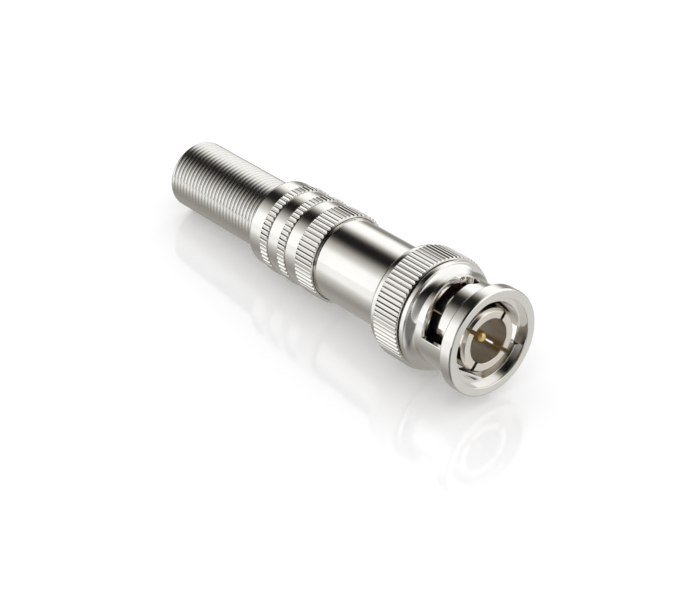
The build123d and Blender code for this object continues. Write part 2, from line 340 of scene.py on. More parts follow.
def lathe(outline, steps=192):
    """A ring: each point (x, r) of the closed outline goes round the axis."""
    angle = np.arange(steps) * 2 * np.pi / steps
    points = on_axis(outline[None, :, 0], outline[None, :, 1], angle[:, None])
    return closed(points, grid_faces(steps, len(outline), True, True))


def spindle(outline, steps=96):
    """A solid turned piece: the outline's first and last points lie on the axis, and each
    becomes one point where the faces meet."""
    angle = np.arange(steps) * 2 * np.pi / steps
    inner = outline[1:-1]
    points = on_axis(inner[None, :, 0], inner[None, :, 1], angle[:, None]).reshape(-1, 3)
    ends = on_axis(outline[[0, -1], 0], outline[[0, -1], 1], 0.0)
    faces = grid_faces(steps, len(inner), True, False)
    first = np.arange(steps) * len(inner)
    after = np.roll(first, -1)
    pole = len(points)
    last = len(inner) - 1
    faces += [[pole, b, a] for a, b in zip(first.tolist(), after.tolist())]
    faces += [[pole + 1, a + last, b + last] for a, b in zip(first.tolist(), after.tolist())]
    return closed(np.concatenate([points, ends]), faces)


def sector(outline, start, end, half_slot, steps=40):
    """A part of a ring from one angle to another, in degrees. Its ends are walls beside a
    slot: at radius r they stand back by the angle whose sine is half_slot / r, and half_slot
    is one number or has one for each point of the outline."""
    back = np.arcsin(half_slot / outline[:, 1])
    low = np.radians(start) + back
    high = np.radians(end) - back
    t = np.linspace(0, 1, steps + 1)[:, None]
    points = on_axis(outline[None, :, 0], outline[None, :, 1], low + (high - low) * t)
    return closed(points, tube_faces(steps + 1, len(outline)))


def groove_share(phase, half_width=0.27, crown=0.2):
    """How far a knurl lies below its crests, 0 to 1, at a phase of -0.5 to 0.5 from the middle
    of a groove: the crest falls by crown times the square of the way to its edge, and the
    rest is a V whose sides end at half_width."""
    reach = np.clip((0.5 - np.abs(phase)) / (0.5 - half_width), 0, 1)
    slope = np.clip(1 - np.abs(phase) / half_width, 0, 0.9)
    return crown * reach**2 + (1 - crown) * slope / 0.9


def knurled(front, back, crest_r, depth, ribs, inner_r, front_bevel, back_bevel, front_r, back_r):
    """A ring of straight ribs. Its radius is the lower of two: the crest less the groove at
    that angle, and the bevels, which slope from the crest to front_r and back_r."""
    half = np.array(RIB_POINTS)
    phases = np.concatenate([[-0.5], -half[::-1], half])
    angle = ((np.arange(ribs)[:, None] + phases[None]) * 2 * np.pi / ribs).ravel()
    dip = depth * np.tile(groove_share(phases), ribs)
    x = np.concatenate([
        np.linspace(front, front - front_bevel, 9),
        np.linspace(front - front_bevel - BRACE, back + back_bevel + BRACE, 4),
        np.linspace(back + back_bevel, back, 7),
    ])
    bevel_r = np.interp(
        x, [back, back + back_bevel, front - front_bevel, front], [back_r, crest_r, crest_r, front_r]
    )
    outer_r = np.minimum(bevel_r[None], crest_r - dip[:, None])
    inner = on_axis(np.array([back, front])[None], inner_r, angle[:, None])
    points = np.concatenate([on_axis(x[None], outer_r, angle[:, None]), inner], 1)
    return closed(points, grid_faces(len(angle), len(x) + 2, True, True))


def weld(points, faces):
    """Joins the points that lie in one place, and drops faces that this leaves empty."""
    _, first, place = np.unique(np.round(points, 5), axis=0, return_index=True, return_inverse=True)
    place = place.ravel()
    kept = []
    for face in faces:
        corners = [int(place[point]) for point in face]
        corners = [c for k, c in enumerate(corners) if c != corners[k - 1]]
        if len(corners) > 2:
            kept.append(corners)
    return points[first], kept


def slot_rows(centre, sideways, x, rim_angle, rim_x):
    """Rows of the neck's patch: a point of the slot's edge as centre angle, sideways place
    and x, with the point of the patch's rim that it is joined to, as angle and x."""
    columns = np.broadcast_arrays(*np.atleast_1d(centre, sideways, x, rim_angle, rim_x))
    return np.stack(columns, 1).astype(float)


def slot_edge():
    """The cam slot's edge, from the far side of the entry, under the ramp, round the lock
    pocket and back over the ramp to the near side of the entry. A point with a sideways
    place w stands at its centre angle plus the angle whose sine is w / r. The last two
    values of a row spread the rules evenly round the patch's rim, so that none cross."""
    top = NUT_FRONT - RIM_LENGTH + SLOT_EDGE
    bottom = top - SLOT_EDGE - NECK_LENGTH - NECK_LAP
    low = ENTRY_X - SLOT_HALF
    high = ENTRY_X + SLOT_HALF
    sides = np.linspace(top, bottom, 25)
    turn = np.linspace(0, np.pi / 2, 9)
    corner_w = SLOT_HALF - SLOT_CORNER * (1 - np.cos(turn))
    corner_x = low + SLOT_CORNER * (1 - np.sin(turn))
    near_w = -SLOT_HALF + SLOT_CORNER * (np.sin(turn) - 1)
    near_x = high + SLOT_CORNER * (1 - np.cos(turn))
    pocket_start = math.radians(RAMP_END_ANGLE - LOCK_ANGLE - RAMP_GAPS[1])
    pocket = math.asin(math.sin(pocket_start) * NECK_R / SLOT_HALF)
    ramp_angles = np.linspace(RAMP_START_ANGLE - RAMP_GAPS[0], RAMP_END_ANGLE, 34)
    ramp_fall = RAMP_DROP * (RAMP_START_ANGLE - ramp_angles) / (RAMP_START_ANGLE - RAMP_END_ANGLE)
    left = SEAM_ANGLE
    right = left - 180

    def round_pocket(turns, rim_angle, rim_x):
        return slot_rows(
            LOCK_ANGLE, SLOT_HALF * np.sin(turns), LOCK_X - SLOT_HALF * np.cos(turns), rim_angle, rim_x
        )

    return np.concatenate([
        slot_rows(ENTRY_ANGLE, SLOT_HALF, np.linspace(top, corner_x[0], 20), left, sides[:20]),
        slot_rows(ENTRY_ANGLE, corner_w[1:5], corner_x[1:5], left, sides[20:24]),
        slot_rows(ENTRY_ANGLE, corner_w[5], corner_x[5], left, sides[24]),
        slot_rows(ENTRY_ANGLE, corner_w[6:], corner_x[6:], np.linspace(200, 180, 3), bottom),
        slot_rows(ENTRY_ANGLE, np.linspace(0.7, -SLOT_HALF, 8), low, np.linspace(176, 153, 8), bottom),
        slot_rows(ramp_angles, 0, low - ramp_fall, ramp_angles, bottom),
        round_pocket(np.linspace(pocket, -np.pi / 4, 9), np.linspace(84, 40, 9), bottom),
        round_pocket(np.linspace(-np.pi / 4, -3 * np.pi / 4, 25), right, sides[::-1]),
        round_pocket(np.linspace(-3 * np.pi / 4, -np.pi - pocket, 9), np.linspace(40, 84, 9), top),
        slot_rows(ramp_angles[:1:-1], 0, high - ramp_fall[:1:-1], np.linspace(88, 143, 32), top),
        slot_rows(ENTRY_ANGLE, near_w, near_x, np.linspace(143.6, 146, 9), top),
        slot_rows(
            ENTRY_ANGLE, -SLOT_HALF, np.linspace(high + 0.3, top, 8), np.linspace(146.4, 148.5, 8), top
        ),
    ])


def on_seam(a, b, rows, depth):
    """Whether two neighbours on the patch's rim lie on a line where the two half turns meet:
    there the rim angle is the first row's, or that less half a turn."""
    if (a + 1) % depth or (b + 1) % depth:
        return False
    pair = rows[[a // depth, b // depth], 3]
    return pair[0] == pair[1] and pair[0] in (rows[0, 3], rows[0, 3] - 180)


def neck_with_slots(rule_steps=14):
    """The nut's neck: a tube with two cam slots. Each half turn is a patch of straight rules
    in the unrolled (angle, x) plane, from the slot's edge to the patch's rim, laid on the
    outer and on the inner radius and joined by walls round the patch."""
    rows = slot_edge()
    share = np.r_[0, 0.02, np.linspace(0.07, 1, rule_steps)]
    count = len(rows)
    depth = len(share)
    inner = count * depth
    outer_faces = np.array(grid_faces(count, depth, False, False))
    loop = np.r_[
        np.arange(count) * depth,
        (count - 1) * depth + np.arange(1, depth),
        (np.arange(count - 1)[::-1] + 1) * depth - 1,
        np.arange(1, depth - 1)[::-1],
    ]
    walls = np.array([
        [b, a, a + inner, b + inner]
        for a, b in zip(loop.tolist(), np.roll(loop, -1).tolist())
        if not on_seam(a, b, rows, depth)
    ])
    patch_faces = np.concatenate([outer_faces, outer_faces[:, ::-1] + inner, walls])
    points = []
    faces = []
    for half_turn in (0, math.pi):
        for radius, way in ((NECK_R, 1), (NUT_BORE_R, -1)):
            edge_angle = np.radians(rows[:, 0]) + np.arcsin(rows[:, 1] / radius)
            angle = edge_angle[:, None] * (1 - share) + np.radians(rows[:, 3])[:, None] * share
            x = rows[:, 2, None] * (1 - share) + rows[:, 4, None] * share
            r = np.full_like(x, radius)
            r[:, 0] -= way * SLOT_EDGE
            points.append(on_axis(x, r, angle + half_turn).reshape(-1, 3))
        faces += (patch_faces + (len(points) - 2) * inner).tolist()
    points, faces = weld(np.concatenate(points), faces)
    return closed(points, faces)


def make_piece(name, shells, body, nodes, material):
    """One mesh object from shells in millimetres. It rides on a body, replaces CAD nodes and
    takes a material. Edges sharper than SHARP_ANGLE stay sharp."""
    points = []
    faces = []
    offset = 0
    for shell_points, shell_faces in shells:
        points.append(shell_points)
        faces += [[corner + offset for corner in face] for face in shell_faces]
        offset += len(shell_points)
    mesh = bpy.data.meshes.new(name)
    mesh.from_pydata((np.concatenate(points) * MM).tolist(), [], faces)
    mesh.polygons.foreach_set("use_smooth", np.ones(len(faces), bool))
    mesh.set_sharp_from_angle(angle=SHARP_ANGLE)
    mesh.update()
    mesh.materials.append(material)
    piece = bpy.data.objects.new(name, mesh)
    bpy.context.scene.collection.objects.link(piece)
    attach(piece, body)
    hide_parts(*nodes)
    return piece


def add_node(tree, kind, inputs=(), **settings):
    """A new node. An input is given as a value, or as the socket that feeds it."""
    node = tree.nodes.new(kind)
    for name, value in settings.items():
        setattr(node, name, value)
    for name, value in dict(inputs).items():
        if isinstance(value, bpy.types.NodeSocket):
            tree.links.new(value, node.inputs[name])
        else:
            node.inputs[name].default_value = value
    return node


def grey(value):
    """An opaque grey."""
    return (value, value, value, 1.0)


def scaled(tree, tone, share):
    """A colour times a number."""
    return add_node(tree, "ShaderNodeVectorMath", {0: tone, "Scale": share}, operation="SCALE").outputs[0]


def mix_tones(tree, share, first, second, **settings):
    """A mix of two colours."""
    node = add_node(tree, "ShaderNodeMix", {0: share, 6: first, 7: second}, data_type="RGBA", **settings)
    return node.outputs[2]


def math_node(tree, operation, *values):
    """The result of a sum on numbers or sockets."""
    return add_node(tree, "ShaderNodeMath", dict(enumerate(values)), operation=operation).outputs[0]


def step(tree, value, start, end, kind="SMOOTHSTEP"):
    """A share that goes from 0 at start to 1 at end, and stays there."""
    return add_node(
        tree, "ShaderNodeMapRange", {"Value": value, 1: start, 2: end}, interpolation_type=kind
    ).outputs[0]


def dot_product(tree, vector, way):
    """How far a vector reaches along a fixed one."""
    node = add_node(tree, "ShaderNodeVectorMath", {0: vector, 1: way}, operation="DOT_PRODUCT")
    return node.outputs["Value"]


def new_material(name, roughness, metallic):
    """A material with constant metal and its shader and tree."""
    material = bpy.data.materials.new(name)
    material.use_nodes = True
    tree = material.node_tree
    shader = tree.nodes["Principled BSDF"]
    shader.inputs["Roughness"].default_value = roughness
    shader.inputs["Metallic"].default_value = metallic
    return material, tree, shader


def turned_metal(name, color, roughness, ring_height, bore=None):
    """Plated or drawn metal: faint turning rings at equal x and radius, a slow drift of its
    tone, and a roughness that varies along the rings. Within the radius and with the
    roughness that bore gives, it is duller."""
    if name in bpy.data.materials:
        return bpy.data.materials[name]
    material, tree, shader = new_material(name, roughness, 1.0)
    place = add_node(tree, "ShaderNodeTexCoord").outputs["Object"]
    parts = add_node(tree, "ShaderNodeSeparateXYZ", {0: place})
    across = add_node(tree, "ShaderNodeCombineXYZ", {1: parts.outputs[1], 2: parts.outputs[2]})
    radius = add_node(tree, "ShaderNodeVectorMath", {0: across.outputs[0]}, operation="LENGTH")
    rings = add_node(tree, "ShaderNodeCombineXYZ", {0: parts.outputs[0], 1: radius.outputs["Value"]})
    marks = add_node(
        tree, "ShaderNodeTexNoise",
        {"Vector": rings.outputs[0], "Scale": 5200.0, "Detail": 3.0, "Roughness": 0.6},
    )
    drift = add_node(tree, "ShaderNodeTexNoise", {"Vector": place, "Scale": 260.0, "Detail": 2.0})
    share = step(tree, drift.outputs["Fac"], 0.35, 0.7, "LINEAR")
    tone = mix_tones(tree, share, (*color, 1.0), (*[0.955 * part for part in color], 1.0))
    gloss = add_node(
        tree, "ShaderNodeMapRange",
        {"Value": marks.outputs["Fac"], 1: 0.3, 2: 0.7, 3: 0.8 * roughness, 4: 1.25 * roughness},
    ).outputs[0]
    if bore:
        gloss = add_node(
            tree, "ShaderNodeMapRange",
            {"Value": radius.outputs["Value"], 1: bore[0], 2: 1.01 * bore[0], 3: bore[1], 4: gloss},
        ).outputs[0]
    bump = add_node(
        tree, "ShaderNodeBump",
        {"Height": marks.outputs["Fac"], "Distance": ring_height, "Strength": 1.0},
    )
    tree.links.new(tone, shader.inputs["Base Color"])
    tree.links.new(gloss, shader.inputs["Roughness"])
    tree.links.new(bump.outputs[0], shader.inputs["Normal"])
    return material


def moulded(name, color, roughness, grain_height):
    """Moulded plastic or rubber: a fine grain and a slight drift of its tone."""
    if name in bpy.data.materials:
        return bpy.data.materials[name]
    material, tree, shader = new_material(name, roughness, 0.0)
    place = add_node(tree, "ShaderNodeTexCoord").outputs["Object"]
    grain = add_node(tree, "ShaderNodeTexNoise", {"Vector": place, "Scale": 9000.0, "Detail": 4.0})
    drift = add_node(tree, "ShaderNodeTexNoise", {"Vector": place, "Scale": 500.0, "Detail": 2.0})
    tone = mix_tones(tree, drift.outputs["Fac"], (*color, 1.0), (*[0.86 * part for part in color], 1.0))
    bump = add_node(tree, "ShaderNodeBump", {"Height": grain.outputs["Fac"], "Distance": grain_height})
    tree.links.new(tone, shader.inputs["Base Color"])
    tree.links.new(bump.outputs[0], shader.inputs["Normal"])
    return material


def nickel():
    """Polished nickel plate."""
    finish = bpy.context.scene.plug_finish
    return turned_metal("nickel_plate", finish.nickel, finish.gloss, 1.2e-6)


def dress(node, material):
    """Gives a CAD node a material."""
    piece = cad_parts[node]
    if not piece.material_slots:
        piece.data.materials.append(material)
    for slot in piece.material_slots:
        slot.material = material


class PLUG_OT_nut(bpy.types.Operator):
    """Build the coupling nut: rim, slotted neck, hollow flank, lip, knurl and tail"""

    bl_idname = "plug.nut"
    bl_label = "Coupling nut"

    def execute(self, context):
        rim_back = NUT_FRONT - RIM_LENGTH
        neck_back = rim_back - NECK_LENGTH
        flank_back = neck_back - FLANK_LENGTH
        lip_back = flank_back - LIP_LENGTH
        knurl_front = lip_back - RELIEF_LENGTH
        knurl_back = NUT_BACK + TAIL_LENGTH
        under_r = RELIEF_R + KNURL_CORE
        rim = rounded([
            (NUT_FRONT, MOUTH_R, MOUTH_ROUND), (NUT_FRONT, RIM_R, RIM_FRONT_ROUND),
            (rim_back, RIM_R, RIM_BACK_ROUND), (rim_back, MOUTH_R, 0),
        ])
        seat_x = NUT_FRONT - MOUTH_DEPTH
        seat = rounded([
            (seat_x, NUT_BORE_R, 0.06), (seat_x, MOUTH_R + FINE_EDGE, 0),
            (rim_back, MOUTH_R + FINE_EDGE, 0), (rim_back, NUT_BORE_R, 0),
        ])
        groove_front, groove_back, groove_r = RING_GROOVE
        body = rounded([
            (neck_back, NUT_BORE_R, 0), (neck_back, NECK_R, 0), *flank_hollow(neck_back, flank_back),
            (flank_back, LIP_R, EDGE), (lip_back, LIP_R, EDGE), (lip_back, RELIEF_R, 0.04),
            (knurl_front - LAP, RELIEF_R, 0), (knurl_front - LAP, under_r, 0),
            (knurl_back + LAP, under_r, 0), (knurl_back + LAP, TAIL_R, FINE_EDGE),
            (NUT_BACK, TAIL_R, TAIL_ROUND), (NUT_BACK, WASHER_BORE_R, EDGE),
            (groove_back, WASHER_BORE_R, 0), (groove_back, groove_r, 0), (groove_front, groove_r, 0),
            (groove_front, WASHER_BORE_R, 0), (STEP_X, WASHER_BORE_R, 0), (STEP_X, NUT_BORE_R, 0),
        ])
        ribs = knurled(
            knurl_front, knurl_back, NUT_R, context.scene.plug_sizes.rib_depth / MM, NUT_RIBS,
            under_r - EDGE, NUT_BEVEL, NUT_BACK_BEVEL, NUT_R - NUT_BEVEL, NUT_R - 0.14,
        )
        shells = [lathe(rim), lathe(body), ribs, neck_with_slots()]
        for turn in (0, 180):
            shells.append(sector(seat, ENTRY_ANGLE + turn, ENTRY_ANGLE + turn + 180, SLOT_HALF, 72))
        make_piece("bayonet_nut", shells, "coupling_nut", ["coupling_nut"], nickel())
        return {"FINISHED"}


def flank_hollow(front, back, steps=12):
    """Points of the hollow flank between the neck and the lip: an arc of FLANK_HOLLOW_R
    whose centre lies outside the nut, on the upright through the middle of its chord."""
    start = np.array((front, NECK_R))
    end = np.array((back, LIP_R))
    chord = end - start
    length = np.linalg.norm(chord)
    outwards = np.array((chord[1], -chord[0])) / length
    centre = (start + end) / 2 + outwards * math.sqrt(FLANK_HOLLOW_R**2 - length**2 / 4)
    low = math.atan2(*(start - centre)[::-1])
    high = math.atan2(*(end - centre)[::-1])
    turn = np.linspace(low, high, steps + 1)[1:-1]
    x, r = centre[:, None] + FLANK_HOLLOW_R * np.array((np.cos(turn), np.sin(turn)))
    return [(float(a), float(b), 0) for a, b in zip(x, r)]


class PLUG_OT_barrel(bpy.types.Operator):
    """Build the barrel: flange, plain polished outside, and the thread under the shell"""

    bl_idname = "plug.barrel"
    bl_label = "Barrel"

    def execute(self, context):
        flange_back = BARREL_FRONT - FLANGE_LENGTH
        shoulder = flange_back - BARREL_LENGTH
        depth = context.scene.plug_sizes.thread_depth / MM
        root_r = THREAD_R - depth
        outline = rounded([
            (BARREL_FRONT, SOCKET_R, FINE_EDGE), (BARREL_FRONT, FLANGE_R, 0.08),
            (flange_back, FLANGE_R, 0.08), (flange_back, BARREL_R, FINE_EDGE),
            (shoulder + BARREL_CHAMFER, BARREL_R, 0.12), (shoulder, BARREL_R - BARREL_CHAMFER, 0.06),
            (shoulder, root_r, 0), (BARREL_BACK, root_r, EDGE), (BARREL_BACK, CHAMBER_R, FINE_EDGE),
            (SOCKET_X, CHAMBER_R, 0), (SOCKET_X, SOCKET_R, 0),
        ])
        thread = threaded(shoulder - 0.25, BARREL_BACK + 0.15, root_r, depth, CHAMBER_R + FINE_EDGE)
        make_piece(
            "plug_barrel", [lathe(outline, 256), thread], "plug_body", ["barrel"], nickel()
        )
        return {"FINISHED"}


def threaded(front, back, root_r, depth, inner_r, steps=144):
    """A right-hand thread: the radius rises from the root by depth times a rounded saw of
    x / pitch less the share of the turn, and fades out at both ends."""
    angle = np.arange(steps) * 2 * np.pi / steps
    x = np.linspace(front, back, 64)
    phase = x[None] / THREAD_PITCH + angle[:, None] / (2 * np.pi)
    rise = np.abs(2 * (phase - np.floor(phase)) - 1)
    rise = rise * rise * (3 - 2 * rise)
    fade = np.clip(np.minimum(front - x, x - back) / THREAD_FADE, 0, 1)
    outer_r = root_r - LAP + (depth + LAP) * rise * fade
    inner = on_axis(np.array([back, front])[None], inner_r, angle[:, None])
    points = np.concatenate([on_axis(x[None], outer_r, angle[:, None]), inner], 1)
    return closed(points, grid_faces(steps, len(x) + 2, True, True))


class PLUG_OT_contact(bpy.types.Operator):
    """Build the outer contact: a sleeve whose front is slotted into spring fingers"""

    bl_idname = "plug.contact"
    bl_label = "Outer contact"

    def execute(self, context):
        slot_back = CONTACT_FRONT - FINGER_LENGTH
        finger = rounded([
            (CONTACT_FRONT, CONTACT_LIP_R, 0.08), (CONTACT_FRONT, NOSE_R, 0.12),
            (CONTACT_FRONT - NOSE_LENGTH, CONTACT_R, 0.2), (slot_back, CONTACT_R, 0),
            (slot_back, CONTACT_BORE_R, 0), (CONTACT_FRONT - CONTACT_LIP_LENGTH, CONTACT_BORE_R, 0),
        ])
        root = rounded([
            (slot_back, CONTACT_BORE_R, 0), (slot_back, CONTACT_R, 0), (0, CONTACT_R, 0),
            (0, CONTACT_SHANK_R, 0.04), (CONTACT_BACK, CONTACT_SHANK_R, 0.06),
            (CONTACT_BACK, CONTACT_BORE_R, 0.04),
        ])
        half_slot = np.interp(
            finger[:, 0], [slot_back, CONTACT_FRONT - FINGER_SLOT_MOUTH, CONTACT_FRONT], FINGER_SLOT_HALF
        )
        shells = [lathe(root)]
        for turn in np.arange(FINGERS) * 360 / FINGERS + FINGER_SLOT_ANGLE:
            shells.append(sector(finger, turn, turn + 360 / FINGERS, half_slot))
        finish = context.scene.plug_finish
        plate = turned_metal(
            "contact_plate", finish.contact, 1.6 * finish.gloss, 0.6e-6, (1.005 * CONTACT_BORE_R * MM, 0.2)
        )
        make_piece("contact_sleeve", shells, "plug_body", ["outer_contact"], plate)
        return {"FINISHED"}


class PLUG_OT_pin(bpy.types.Operator):
    """Build the gold centre pin: domed tip, shouldered body, collar and solder cup"""

    bl_idname = "plug.pin"
    bl_label = "Centre pin"

    def execute(self, context):
        finish = context.scene.plug_finish
        tip = rounded([
            (PIN_FRONT, 0, 0), (PIN_FRONT, PIN_R, PIN_TIP_ROUND), (PIN_SHOULDER_X + 0.1, PIN_R, 0),
            (PIN_SHOULDER_X + 0.1, 0, 0),
        ], 10)
        cup_front = PIN_BACK + CUP_OPENING
        body = np.array([
            (PIN_SHOULDER_X, PIN_R), (PIN_SHOULDER_X, PIN_NECK_R), (PIN_STEP_X, PIN_NECK_R),
            (PIN_STEP_X, PIN_BODY_R), (PIN_COLLAR[0], PIN_BODY_R), (PIN_COLLAR[0], PIN_COLLAR_R),
            (PIN_COLLAR[1], PIN_COLLAR_R), (PIN_COLLAR[1], PIN_BODY_R), (cup_front, PIN_BODY_R),
            (cup_front, CUP_BORE_R), (PIN_BACK + CUP_DEPTH, CUP_BORE_R), (PIN_BACK + CUP_DEPTH, 0),
        ])
        cup = rounded([
            (cup_front + LAP, CUP_BORE_R, 0), (cup_front + LAP, PIN_BODY_R, 0),
            (PIN_BACK, PIN_BODY_R, FINE_EDGE), (PIN_BACK, CUP_BORE_R, FINE_EDGE),
        ])
        # the tip's outline closes along the axis, so only its part before the shoulder is kept
        past_shoulder = np.argmax(tip[:, 0] < PIN_SHOULDER_X + 0.2)
        shells = [spindle(np.concatenate([tip[:past_shoulder], body])), sector(cup, 180, 360, 0.0)]
        gold = turned_metal("gold_plate", finish.gold, 0.16, 0.8e-6)
        make_piece("gold_pin", shells, "plug_body", ["centre_pin"], gold)
        return {"FINISHED"}


class PLUG_OT_shell(bpy.types.Operator):
    """Build the back shell: one wide and two narrow knurled bands, bored for the spring"""

    bl_idname = "plug.shell"
    bl_label = "Back shell"

    def execute(self, context):
        depth = context.scene.plug_sizes.shell_rib_depth / MM
        under_r = SHELL_R - BAND_DEPTH
        corners = [(SHELL_FRONT, SHELL_BORE_R, 0.06), (SHELL_FRONT, under_r, 0)]
        shells = []
        for start, length, bevel in SHELL_BANDS:
            front = SHELL_FRONT - start
            back = front - length
            shells.append(
                knurled(
                    front, back, SHELL_KNURL_R, depth, SHELL_RIBS, under_r - EDGE, bevel, BAND_BACK_BEVEL,
                    SHELL_KNURL_R - bevel, SHELL_R + LAP,
                )
            )
            if start:
                corners += [(front + BAND_GROOVE, SHELL_R, 0.03), (front + BAND_GROOVE / 2, under_r, 0)]
            corners += [(front - LAP, under_r, 0), (back + LAP, under_r, 0), (back + LAP, SHELL_R, 0)]
        corners += [
            (SHELL_BACK, SHELL_R, SHELL_TAIL_ROUND), (SHELL_BACK, SPRING_SEAT_R, 0.06),
            (SHELL_BACK + SPRING_SEAT_DEPTH, SPRING_SEAT_R, 0),
            (SHELL_BACK + SPRING_SEAT_DEPTH, SHELL_CAVITY_R, 0),
            (SHELL_FRONT - SHELL_BORE_DEPTH, SHELL_CAVITY_R, 0),
            (SHELL_FRONT - SHELL_BORE_DEPTH, SHELL_BORE_R, 0),
        ]
        shells.append(lathe(rounded(corners, 8), 224))
        make_piece("knurled_shell", shells, "back_shell", ["back_shell"], nickel())
        return {"FINISHED"}


class PLUG_OT_spring(bpy.types.Operator):
    """Build the close-wound spring that relieves the cable"""

    bl_idname = "plug.spring"
    bl_label = "Strain relief spring"

    def execute(self, context):
        finish = context.scene.plug_finish
        wire_r = context.scene.plug_sizes.wire_radius / MM
        coil = wire_coil(wire_r, SPRING_R - wire_r, SPRING_FRONT - WIRE_R, SPRING_BACK + WIRE_R)
        wire = turned_metal("drawn_wire", finish.wire, 1.5 * finish.gloss, 0.8e-6)
        make_piece(
            "relief_spring", [coil], "strain_relief", ["strain_relief_spring"], wire
        )
        return {"FINISHED"}


def wire_coil(wire_r, coil_r, front, back, steps_per_turn=72, sides=14):
    """A round wire along a helix: the wire's circle stands on the outward direction and on
    the one square to both it and the helix's tangent, and each end closes with a flat."""
    turns = (front - back) / COIL_PITCH
    count = int(round(turns * steps_per_turn)) + 1
    angle = np.linspace(0, 2 * np.pi * turns, count)
    x = front + (back - front) * angle / angle[-1]
    centre = on_axis(x, coil_r, angle)
    outward = on_axis(0.0, 1.0, angle)
    tangent = np.stack(
        [np.full(count, -COIL_PITCH / (2 * np.pi)), -coil_r * np.sin(angle), coil_r * np.cos(angle)], 1
    )
    tangent /= np.linalg.norm(tangent, axis=1)[:, None]
    upright = np.cross(tangent, outward)
    turn = np.arange(sides) * 2 * np.pi / sides
    ring = np.cos(turn)[None, :, None] * outward[:, None] + np.sin(turn)[None, :, None] * upright[:, None]
    points = centre[:, None] + wire_r * ring
    return closed(points, tube_faces(count, sides))


class PLUG_OT_inner_pieces(bpy.types.Operator):
    """Finish the insulators, gasket, rings, liner and ground lug, and build the wave washer"""

    bl_idname = "plug.inner_pieces"
    bl_label = "Inner pieces"

    def execute(self, context):
        finish = context.scene.plug_finish
        bead = moulded("bead_plastic", finish.bead, 0.45, 2e-6)
        liner = moulded("liner_plastic", [0.92 * part for part in finish.bead], 0.5, 3e-6)
        rubber = moulded("gasket_rubber", finish.rubber, 0.55, 4e-6)
        bronze = turned_metal("spring_bronze", finish.bronze, 0.28, 2e-6)
        tin = turned_metal("tin_plate", finish.nickel, 0.3, 2e-6)
        for node, material in (
            ("front_insulator", bead), ("rear_insulator", bead), ("insulating_liner", liner),
            ("gasket", rubber), ("retaining_ring", bronze), ("thrust_washer", tin), ("ground_lug", tin),
        ):
            dress(node, material)
        back, front = (corner.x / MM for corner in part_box("wave_washer"))
        corners = np.array([corner.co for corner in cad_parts["wave_washer"].data.vertices]) / MM
        radius = np.hypot(corners[:, 1], corners[:, 2])
        waves = waved_strip(radius.min(), radius.max(), front, back)
        spring = make_piece("wave_spring", [waves], "plug_body", ["wave_washer"], bronze)
        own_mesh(spring)
        return {"FINISHED"}


def waved_strip(inner_r, outer_r, front, back, steps=144):
    """A split ring of flat strip: along X its middle follows the cosine of WAVES turns over
    the ring, and its section is a rectangle between two radii."""
    share = np.linspace(0, 1, steps + 1)
    angle = math.radians(90 + WAVE_OPENING / 2) + share * math.radians(360 - WAVE_OPENING)
    x = (front + back) / 2 + (front - back - WAVE_THICKNESS) / 2 * np.cos(2 * np.pi * WAVES * share)
    half = WAVE_THICKNESS / 2
    section = ((half, inner_r), (half, outer_r), (-half, outer_r), (-half, inner_r))
    points = np.stack([on_axis(x + offset, r, angle) for offset, r in section], 1)
    return closed(points, tube_faces(steps + 1, len(section)))


# The studio that the metal mirrors, as places in degrees and brightness. By elevation over the
# sloping floor: pale walls, and on the view's far side a table that falls into shade.
STUDIO = ((-90, 0.9), (0, 1.2), (60, 1.1), (90, 1.0))
STUDIO_FAR = ((-90, 0.28), (1, 0.32), (4, 0.46), (11, 0.98), (16, 1.2), (60, 1.1), (90, 1.0))
FAR_AZIMUTH = 139.0
FAR_EDGE = (0.2, 0.7)
# By the angle about X from straight up, towards the camera's side: a dark gap between two
# long soft lights that hang along the plug
GAP = (
    (-180, 1.0), (-48, 1.0), (-41, 0.95), (-35, 0.80), (-29, 0.5), (-23, 0.26), (-17, 0.08), (-11, 0.02),
    (-6, 0.01), (4, 0.01), (9, 0.02), (13, 0.05), (20, 0.155), (26.5, 0.33), (39, 0.59), (52, 0.96),
    (58, 1.0), (180, 1.0),
)
# The gap drifts towards the camera's side, from the first x part of a direction to the second
GAP_DRIFT = (-0.58, -0.1, 17.0)
# Two darker sides of the room, the camera's and the one behind the cable: the cosines of
# their outer and inner radius, and their brightness
VIEW_SIDE = (0.62, 0.93, 0.3)
CABLE_SIDE = (0.76, 0.93, 0.12)
# Painted shade on the mirrored floor: how bright it is by its distance from the axis, in millimetres, on the
# near and on the far side, and in front of the plug. It stands in for the plug's shadow close by and for
# shade on the far side
FLOOR_NEAR_PAINTED_SHADE = ((0, 0.42), (6, 0.40), (7.4, 0.35), (9.2, 0.34), (12, 0.45), (16, 0.62), (24, 0.95), (30, 1.05))
FLOOR_FAR_PAINTED_SHADE = ((0, 0.42), (3, 0.40), (5, 0.60), (7, 0.80), (11.5, 0.76), (22, 0.55), (41, 0.34), (58, 0.28))
FLOOR_FRONT_PAINTED_SHADE = 0.71
# Painted shade on the mirrored floor before the plug on the near side, as a share of its brightness
FLOOR_CORNER_PAINTED_SHADE = 0.28
# Where one of these goes over into the next, in millimetres sideways and ahead
FAR_SIDEWAYS = (2.0, 9.0)
FRONT_AHEAD = (NUT_FRONT - 1.0, NUT_FRONT + 2.0)
CORNER_SIDEWAYS = (-6.0, -11.0)
CORNER_AHEAD = (4.0, 9.0)
# The floor itself: its colour, its glow and gloss for the camera, and how blurred the gloss is
FLOOR_COLOUR = 0.9
FLOOR_GLOW = 0.17
FLOOR_GLOSS = 0.10
FLOOR_BLUR = 0.09


def warm_grey(value):
    """A grey that turns warmer as it gets darker."""
    dark = max(0.0, 1.0 - value)
    return (value, value * (1 - 0.07 * dark), value * (1 - 0.17 * dark), 1.0)


